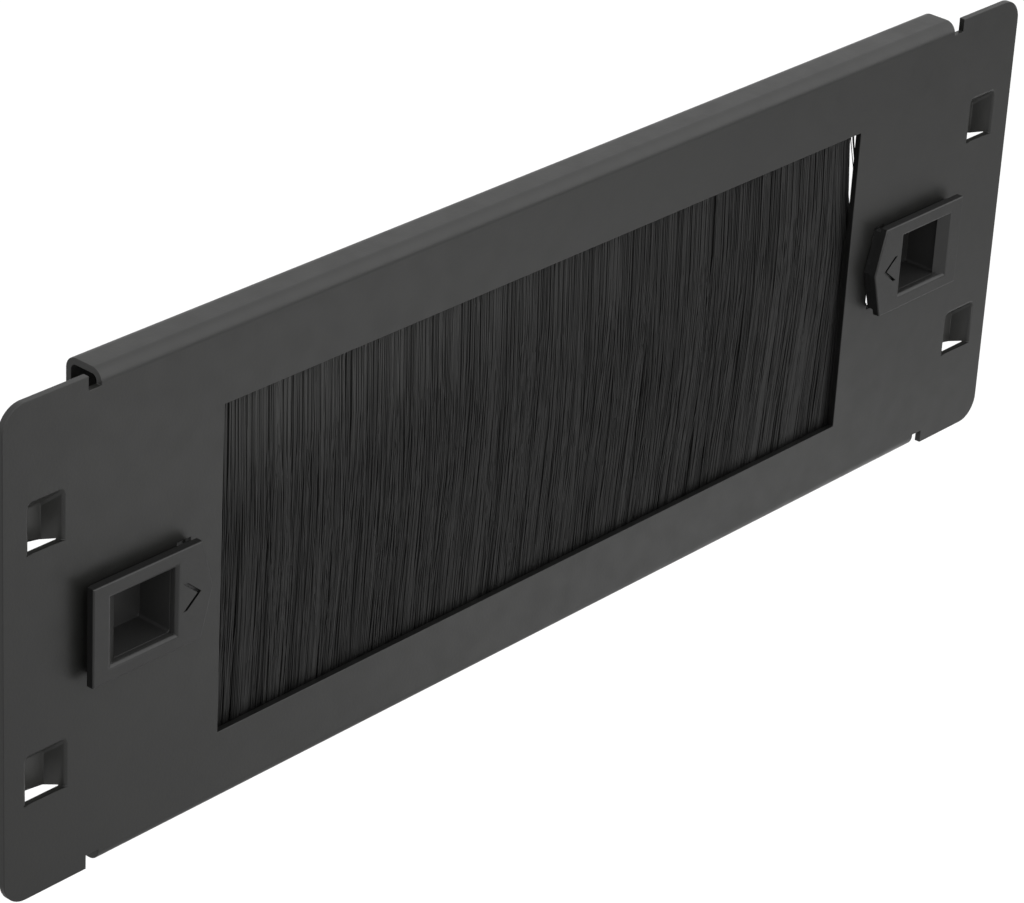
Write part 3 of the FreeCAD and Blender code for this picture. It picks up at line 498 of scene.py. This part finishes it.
def mark_faces(shape, name, chosen):
    """Set an attribute on the faces whose middle and way of standing are the chosen ones."""
    mark = shape.faces.layers.float.new(name)
    shape.normal_update()
    for face in shape.faces:
        if chosen(face.calc_center_median(), abs(face.normal.y) < UPRIGHT):
            face[mark] = 1.0


def at_window(place, upright):
    """Whether a face is on the cut edge of the cable window, where shade is painted."""
    return (upright and place.y < WINDOW_EDGE_BACK and abs(place.x) < WINDOW_EDGE_END
            and WINDOW_EDGE_LOW < place.z < WINDOW_EDGE_HIGH)


def in_hole(place, upright):
    """Whether a face is a side of the square hole in a latch cover."""
    return upright and POCKET_IN < abs(place.x) < POCKET_OUT and abs(place.z) < HOLE_HALF


def on_rim(place, upright):
    """Whether a face is one of a latch cover's slim outer sides, where shade is painted."""
    return upright and not in_hole(place, upright)


def in_cup(place, upright):
    """Whether a face is inside a slider's finger recess, which gets painted light."""
    return (POCKET_IN < abs(place.x) < POCKET_OUT and abs(place.z) < CUP_HALF
            and place.y < (CUP_SIDES_BACK if upright else CUP_FLOOR_BACK))


def draw_hooks(shape):
    """Each hook's lower corner is pulled down into a tooth, with painted light inside the hooks
    and painted shade on the window's cut edges.
    """
    for middle in (-HOOK_X, HOOK_X):
        everything = shape.verts[:] + shape.edges[:] + shape.faces[:]
        bmesh.ops.bisect_plane(shape, geom=everything, dist=CUT_DISTANCE,
                               plane_co=(middle + TOOTH_START, 0, 0), plane_no=(1, 0, 0))
    # Painted shade on the window's cut edges.
    mark_faces(shape, "painted_shade", at_window)
    hook_painted_light = shape.verts.layers.float.new("hook_painted_light")
    for vert in shape.verts:
        across = min((vert.co.x - middle for middle in (-HOOK_X, HOOK_X)), key=abs)
        up = min((vert.co.z - row for row in (-HOOK_Z, HOOK_Z)), key=abs)
        if abs(across) < HOOK_HALF and abs(up) < HOOK_HALF:
            # Painted light, rising from the hook's front towards its back.
            vert[hook_painted_light] = smooth_rise((vert.co.y - HOOK_LIGHT_FRONT) / HOOK_LIGHT_DEPTH)
            if abs(up + HOOK_FOOT) < FOOT_MARGIN and vert.co.y > FOOT_FRONT:
                inner = (across - TOOTH_START) / (HOOK_CREASE - TOOTH_START)
                outer = 1 - (across - HOOK_CREASE) / HOOK_SLOPE
                vert.co.z -= HOOK_TOOTH * min(max(min(inner, outer), 0), 1)


def widen_stop(shape):
    """The stop's foot and upright reach further up and down behind the aperture."""
    for vert in shape.verts:
        if abs(vert.co.z) > STOP_HALF:
            vert.co.z += math.copysign(STOP_WING, vert.co.z)


def refine_cover(shape):
    """The collar comes nearer to the pointed end, and the arrow's groove is cut deeper."""
    # Painted light on the sides of the cover's hole.
    mark_faces(shape, "cup_painted_light", in_hole)
    # Painted shade on the cover's outer sides.
    mark_faces(shape, "painted_shade", on_rim)
    for vert in shape.verts:
        across, up = abs(vert.co.x), abs(vert.co.z)
        if COLLAR_IN < across < COLLAR_OUT and up < COLLAR_HALF and vert.co.y > COLLAR_FRONT:
            vert.co.x -= math.copysign(COLLAR_REACH, vert.co.x)
        if (MARK_IN < across < MARK_OUT and up < MARK_HALF
                and MARK_FRONT < vert.co.y < MARK_BACK):
            vert.co.y += MARK_DEPTH


def refine_slider(shape):
    """Painted light makes the inside of the finger recess lighter than the rest of the slider."""
    mark_faces(shape, "cup_painted_light", in_cup)


class RACKPANEL_OT_sheet(bpy.types.Operator):
    """Coat the folded sheet and the spring stops behind it"""
    bl_idname = "rackpanel.sheet"
    bl_label = "Coat the sheet"

    def execute(self, context):
        coat, edge = material_of("powder_coat"), context.scene.rack_coat.edge
        finished_copy("front_panel", "coated_panel", "panel", coat, edge,
                      draw_hooks)
        for side, _ in SIDES:
            finished_copy("spring_stop_" + side, "coated_stop_" + side, "panel",
                          coat, edge, widen_stop)
        return {"FINISHED"}


class RACKPANEL_OT_latches(bpy.types.Operator):
    """Finish the moulded covers and sliders of both latches"""
    bl_idname = "rackpanel.latches"
    bl_label = "Finish the latches"

    def execute(self, context):
        edge = context.scene.rack_plastic.edge
        for side, _ in SIDES:
            for part, reshape in (("cover", refine_cover), ("slider", refine_slider)):
                finished_copy(f"latch_{part}_{side}", f"moulded_{part}_{side}", "latch_" + side,
                              material_of("moulded_plastic"), edge, reshape)
        return {"FINISHED"}


class RACKPANEL_OT_springs(bpy.types.Operator):
    """Wind the springs between the latches and their stops"""
    bl_idname = "rackpanel.springs"
    bl_label = "Wind the springs"

    def execute(self, context):
        wire = material_of("drawn_wire")
        for side, sign in SIDES:
            low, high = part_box("latch_spring_" + side)
            spring = add_piece(wound_spring(low, high), "wound_spring_" + side, "panel",
                               wire, replaces=["latch_spring_" + side])
            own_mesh(spring)
        return {"FINISHED"}


SPRING_TURNS = 5
SPRING_STEPS = 28
WIRE_RADIUS = 0.25 * MM
WIRE_SIDES = 10
COIL_RADIUS = 1.65 * MM


def wound_spring(low, high):
    """A helix of round wire along X that fills a box, with a closed turn at each end."""
    axis_y, axis_z = (low.y + high.y) / 2, (low.z + high.z) / 2
    closed = 2 * WIRE_RADIUS
    open_length = high.x - low.x - 2 * WIRE_RADIUS - 2 * closed
    shape = bmesh.new()
    ring = bmesh.ops.create_circle(shape, cap_ends=False, segments=WIRE_SIDES,
                                   radius=WIRE_RADIUS)["verts"]
    bmesh.ops.rotate(shape, verts=ring, cent=(0, 0, 0),
                     matrix=Quaternion((0, 1, 0), math.pi / 2).to_matrix())
    bmesh.ops.rotate(shape, verts=ring, cent=(0, 0, 0),
                     matrix=Quaternion((0, 0, 1), math.pi / 2).to_matrix())
    bmesh.ops.translate(shape, verts=ring, vec=(low.x + WIRE_RADIUS, axis_y, axis_z + COIL_RADIUS))
    first_ring = list(shape.edges)
    tip = first_ring
    for turns, rise in ((1, closed), (SPRING_TURNS - 2, open_length), (1, closed)):
        steps = turns * SPRING_STEPS
        spun = bmesh.ops.spin(shape, geom=tip, cent=(low.x, axis_y, axis_z), axis=(1, 0, 0),
                              angle=2 * math.pi * turns, steps=steps,
                              dvec=(rise / steps, 0, 0), use_merge=False)
        tip = [item for item in spun["geom_last"] if isinstance(item, bmesh.types.BMEdge)]
    bmesh.ops.contextual_create(shape, geom=first_ring)
    bmesh.ops.contextual_create(shape, geom=tip)
    bmesh.ops.recalc_face_normals(shape, faces=shape.faces)
    return shape


HOLDER_EDGE, CORE_EDGE = 0.08 * MM, 0.05 * MM


class RACKPANEL_OT_brush(bpy.types.Operator):
    """Finish the brush's holder and core wire, and hang its strands"""
    bl_idname = "rackpanel.brush"
    bl_label = "Hang the brush"

    def execute(self, context):
        finished_copy("brush_holder", "bent_holder", "panel",
                      material_of("bent_strip"), HOLDER_EDGE)
        finished_copy("brush_core_wire", "core_wire", "panel",
                      material_of("drawn_wire"), CORE_EDGE)
        hang_strands(context.scene.rack_brush)
        return {"FINISHED"}


SEED = 11
STRAND_POINTS = 8
ROWS = ("front", "middle", "back")
END_MARGIN, FACE_MARGIN = 0.2 * MM, 0.1 * MM
LEFT_END = BRUSH_LOW.x + END_MARGIN
RIGHT_END = BRUSH_HIGH.x - END_MARGIN

# The slit at the right: heights, lengths of its bends, and how the splay shares out on them.
SLIT_TOP, SLIT_FOOT = 30 * MM, 14 * MM
LOOSE_BEND, FOOT_BEND = 9 * MM, 4 * MM
SLOW_SPLAY, FOOT_SPLAY = 0.42, 0.58
LOOSE_END = 0.25 * MM

# Clumps: the spread of their places, shift, depth, bow and tone.
CLUMP_PLACE = (0.1, 0.9)
CLUMP_SHIFT, CLUMP_DEPTH, CLUMP_BOW, CLUMP_TONE = 0.5 * MM, 0.14 * MM, 0.25 * MM, 0.2
MIDDLE_TONE, STRAND_TONE = 0.5, 0.2

# Strands: root in the holder, uneven tips in millimetres, and how strays and others wander.
ROOT_DEPTH, UNEVEN_TIPS = 1.0 * MM, 1.6
STRAY_LOOSE, NEAT_LOOSE = 1.7 * MM, 0.45 * MM
STRAY_BEND, NEAT_BEND = 0.6 * MM, 0.25 * MM
STRAY_AHEAD, AHEAD_SPREAD = 0.12 * MM, 0.10 * MM
WAVES = (1.6, 3.0)
RIGHT_EDGE, LEFT_EDGE = 7 * MM, 6 * MM
PULL_RATE, PULL_DELAY = 1.15, 0.1
SWELL_LEFT, SWELL_GAIN = 0.6, 0.6
LEAN_LEFT, LEAN_GAIN = 0.25, 0.75
EDGE_CALM = 0.8


def smooth_rise(value):
    """0 below 0, 1 above 1 and a smooth step between them."""
    value = min(max(value, 0.0), 1.0)
    return value * value * (3 - 2 * value)


class Clump:
    """Where one clump of strands draws together and how its tips lie."""

    def __init__(self, draw, place):
        self.place = place
        self.shift = draw.gauss(0, CLUMP_SHIFT)
        self.depth = draw.gauss(0, CLUMP_DEPTH)
        self.bow = draw.gauss(0, CLUMP_BOW)
        self.tone = draw.uniform(-CLUMP_TONE, CLUMP_TONE)


def side_spread(settings, height, loose_end):
    """How far the last strands on the right stand out of line at a height."""
    if loose_end:
        return settings.splay * smooth_rise((SLIT_TOP - height) / LOOSE_BEND)
    down = min(max((SLIT_TOP - height) / (SLIT_TOP - SLIT_FOOT), 0), 1)
    slow = SLOW_SPLAY * settings.splay * down
    return slow + FOOT_SPLAY * settings.splay * smooth_rise((SLIT_FOOT - height) / FOOT_BEND)


def strand_line(settings, draw, root, depth, clump, row):
    """The points of one strand from inside the holder to its tip."""
    top, tip = HOLDER_LOW.z + ROOT_DEPTH, BRUSH_LOW.z + draw.uniform(0, UNEVEN_TIPS) * MM
    rightness = (root - LEFT_END) / (RIGHT_END - LEFT_END)
    stray = draw.random() < settings.stray
    loose = draw.gauss(0, STRAY_LOOSE if stray else NEAT_LOOSE)
    bend = draw.gauss(0, STRAY_BEND if stray else NEAT_BEND)
    turn = draw.uniform(*WAVES)
    edge = smooth_rise((root - (RIGHT_END - RIGHT_EDGE)) / RIGHT_EDGE)
    middle = min(smooth_rise((root - LEFT_END) / LEFT_EDGE), 1 - edge)
    calm = 1 - EDGE_CALM * edge
    ahead = draw.gauss(0, AHEAD_SPREAD) - (settings.forward * middle if row == 0 else 0)
    if stray and row == 0:
        ahead -= STRAY_AHEAD
    loose_end = row == 0 and root > RIGHT_END - LOOSE_END
    points = []
    for step in range(STRAND_POINTS):
        along = step / (STRAND_POINTS - 1)
        height = top + (tip - top) * along
        pull = smooth_rise(along * PULL_RATE - PULL_DELAY)
        arch = math.sin(math.pi * along)
        across = root + (clump.place - root) * settings.gather * pull
        across += settings.swell * (SWELL_LEFT + SWELL_GAIN * rightness) * arch * middle
        across -= settings.lean * (LEAN_LEFT + LEAN_GAIN * rightness) * pull ** 2 * middle
        across += edge * side_spread(settings, height, loose_end)
        across += (clump.shift + loose) * pull ** 1.5 * calm
        across += (clump.bow + bend) * math.sin(math.pi * turn * along) * calm
        back = depth + (clump.depth + ahead) * pull
        back = max(back, BRUSH_LOW.y + FACE_MARGIN - settings.forward * pull * middle)
        points.append((across, min(back, BRUSH_HIGH.y - FACE_MARGIN), height))
    return points


def hang_strands(settings):
    """Thousands of strands in three rows, one behind the other, each a thin tube."""
    draw = random.Random(SEED)
    width = RIGHT_END - LEFT_END
    count = int(width / settings.clump)
    thick = (BRUSH_HIGH.y - BRUSH_LOW.y) / len(ROWS)
    for row, name in enumerate(ROWS):
        clumps = [Clump(draw, LEFT_END + (step + draw.uniform(*CLUMP_PLACE)) * settings.clump)
                  for step in range(count)]
        near = BRUSH_LOW.y + row * thick
        lines, tones = [], []
        for step in range(settings.strands):
            root = LEFT_END + width * (step + draw.random()) / settings.strands
            depth = draw.uniform(near + settings.width / 2, near + thick - settings.width / 2)
            nearest = min(clumps, key=lambda clump: abs(clump.place - root))
            lines.append(strand_line(settings, draw, root, depth, nearest, row))
            tone = MIDDLE_TONE + nearest.tone + draw.gauss(0, STRAND_TONE)
            tones.append(min(max(tone, 0), 1))
        add_strands("bristles_" + name, lines, tones, settings)


def add_strands(name, lines, tones, settings):
    """A mesh of tubes along the lines, with each strand's tone stored on it."""
    curve = bpy.data.curves.new(name + "_lines", "CURVE")
    curve.dimensions = "3D"
    curve.bevel_depth = settings.width / 2
    curve.bevel_resolution = 0
    curve.use_fill_caps = True
    for line in lines:
        spline = curve.splines.new("POLY")
        spline.points.add(len(line) - 1)
        for point, place in zip(spline.points, line):
            point.co = (*place, 1.0)
    holder = bpy.data.objects.new(name + "_lines", curve)
    bpy.context.scene.collection.objects.link(holder)
    graph = bpy.context.evaluated_depsgraph_get()
    mesh = bpy.data.meshes.new_from_object(holder.evaluated_get(graph))
    bpy.data.objects.remove(holder)
    mesh.name = name
    each = len(mesh.vertices) // len(lines)
    attribute = mesh.attributes.new("strand_tone", "FLOAT", "POINT")
    attribute.data.foreach_set("value", [tone for tone in tones for _ in range(each)])
    mesh.polygons.foreach_set("use_smooth", [True] * len(mesh.polygons))
    mesh.materials.clear()
    mesh.materials.append(material_of("black_nylon"))
    piece = bpy.data.objects.new(name, mesh)
    bpy.context.scene.collection.objects.link(piece)
    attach(piece, "panel")
    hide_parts("bristle_curtain")


class RACKPANEL_OT_stage(bpy.types.Operator):
    """Set up the floor, the surroundings and the camera"""
    bl_idname = "rackpanel.stage"
    bl_label = "Set the stage"

    def execute(self, context):
        settings = context.scene.rack_stage
        add_floor(settings)
        light_surroundings(context.scene, settings)
        add_camera(context.scene, settings)
        context.scene.view_settings.view_transform = "Standard"
        return {"FINISHED"}


# Half of the floor's width, and where the pool of light rises and falls on it, in metres.
FLOOR_HALF = 6.0
POOL_START, POOL_FULL = 0.26, 0.46
POOL_FADE, POOL_END = 0.50, 0.80

# The surroundings: how far the change from front to back reaches, as part of a direction.
HORIZON_BLEND = 0.6
WHITE = (1.0, 1.0, 1.0, 1.0)

# The camera: sensor in millimetres, clipping in metres.
SENSOR_WIDTH = 36.0
CLIP_START, CLIP_END = 0.01, 100.0


def add_floor(settings):
    """A wide white floor below the panel that can't be seen from underneath."""
    shape = bmesh.new()
    bmesh.ops.create_grid(shape, x_segments=1, y_segments=1, size=FLOOR_HALF)
    bmesh.ops.translate(shape, verts=shape.verts, vec=(0, 0, PANEL_LOW.z - settings.drop))
    mesh = bpy.data.meshes.new("floor")
    shape.to_mesh(mesh)
    shape.free()
    floor = bpy.data.objects.new("floor", mesh)
    bpy.context.scene.collection.objects.link(floor)
    material = bpy.data.materials.new("white_floor")
    material.use_nodes = True
    tree = material.node_tree
    tree.nodes.clear()
    diffuse = tree.nodes.new("ShaderNodeBsdfDiffuse")
    clear = tree.nodes.new("ShaderNodeBsdfTransparent")
    side = tree.nodes.new("ShaderNodeNewGeometry")
    mix = tree.nodes.new("ShaderNodeMixShader")
    out = tree.nodes.new("ShaderNodeOutputMaterial")
    tree.links.new(floor_tone(tree, settings), diffuse.inputs["Color"])
    tree.links.new(side.outputs["Backfacing"], mix.inputs["Fac"])
    tree.links.new(diffuse.outputs["BSDF"], mix.inputs[1])
    tree.links.new(clear.outputs["BSDF"], mix.inputs[2])
    tree.links.new(mix.outputs["Shader"], out.inputs["Surface"])
    mesh.materials.append(material)


def white_to_camera(tree, level):
    """A level that lights the panel, and 1 where the camera sees the surface itself."""
    path = tree.nodes.new("ShaderNodeLightPath")
    tone = tree.nodes.new("ShaderNodeMix")
    tone.data_type = "FLOAT"
    tree.links.new(path.outputs["Is Camera Ray"], tone.inputs[MIX_FACTOR])
    tree.links.new(level, tone.inputs[NUMBER_FIRST])
    tone.inputs[NUMBER_SECOND].default_value = 1.0
    return tone.outputs[NUMBER_RESULT]


def floor_tone(tree, settings):
    """White as the camera sees it, and a soft pool of light in what the panel mirrors."""
    place = split_place(tree)
    rise = soft_step(tree, place["X"], POOL_START, POOL_FULL, settings.near, 1.0)
    fall = soft_step(tree, place["X"], POOL_FADE, POOL_END, 1.0, settings.shade)
    tint = tree.nodes.new("ShaderNodeVectorMath")
    tint.operation = "SCALE"
    tint.inputs[0].default_value = settings.floor
    tone = white_to_camera(tree, maths(tree, "MULTIPLY", rise, fall))
    tree.links.new(tone, tint.inputs["Scale"])
    return tint.outputs["Vector"]


def light_surroundings(scene, settings):
    """White light from all round, brighter in front of the panel, and a plain white background."""
    world = bpy.data.worlds.new("white_studio")
    world.use_nodes = True
    tree = world.node_tree
    background = tree.nodes["Background"]
    background.inputs["Color"].default_value = WHITE
    direction = split_place(tree, "Generated")
    level = soft_step(tree, direction["Y"], -HORIZON_BLEND, HORIZON_BLEND, settings.ahead,
                      settings.behind)
    tree.links.new(white_to_camera(tree, level), background.inputs["Strength"])
    scene.world = world


def add_camera(scene, settings):
    """A long lens at the photograph's viewing angle."""
    level = math.cos(settings.elevation)
    ahead = Vector((-math.sin(settings.azimuth) * level, math.cos(settings.azimuth) * level,
                    -math.sin(settings.elevation)))
    data = bpy.data.cameras.new("camera")
    data.sensor_width = SENSOR_WIDTH
    data.lens = settings.lens
    data.clip_start = CLIP_START
    data.clip_end = CLIP_END
    camera = bpy.data.objects.new("camera", data)
    camera.location = Vector(settings.target) - ahead * settings.distance
    camera.rotation_mode = "QUATERNION"
    level_turn = ahead.to_track_quat("-Z", "Y")
    camera.rotation_quaternion = level_turn @ Quaternion((0, 0, 1), settings.roll)
    scene.collection.objects.link(camera)
    scene.camera = camera


class RACKPANEL_PT_sidebar(bpy.types.Panel):
    """The steps that build the panel's looks, in order"""
    bl_label = "Rack Panel"
    bl_idname = "RACKPANEL_PT_sidebar"
    bl_space_type = "VIEW_3D"
    bl_region_type = "UI"
    bl_category = "Rack Panel"

    def draw(self, context):
        for step in STEPS:
            self.layout.operator(step.bl_idname)
        for name in SETTINGS:
            box = self.layout.box()
            group = getattr(context.scene, name)
            for key in group.__annotations__:
                box.prop(group, key)


SETTINGS = {"rack_coat": RackPanelCoat, "rack_plastic": RackPanelPlastic,
            "rack_brush": RackPanelBrush, "rack_stage": RackPanelStage}
STEPS = (RACKPANEL_OT_finishes, RACKPANEL_OT_sheet, RACKPANEL_OT_latches, RACKPANEL_OT_springs,
         RACKPANEL_OT_brush, RACKPANEL_OT_stage)


def register():
    """Add the classes and the settings they read."""
    for kind in (*SETTINGS.values(), *STEPS, RACKPANEL_PT_sidebar):
        bpy.utils.register_class(kind)
    for name, kind in SETTINGS.items():
        setattr(bpy.types.Scene, name, PointerProperty(type=kind))


def unregister():
    """Take the settings and the classes away again."""
    for name in SETTINGS:
        delattr(bpy.types.Scene, name)
    for kind in (*SETTINGS.values(), *STEPS, RACKPANEL_PT_sidebar):
        bpy.utils.unregister_class(kind)


def main():
    """Build everything."""
    register()
    bpy.ops.rackpanel.finishes()
    bpy.ops.rackpanel.sheet()
    bpy.ops.rackpanel.latches()
    bpy.ops.rackpanel.springs()
    bpy.ops.rackpanel.brush()
    bpy.ops.rackpanel.stage()


if __name__ == "__main__":
    main()
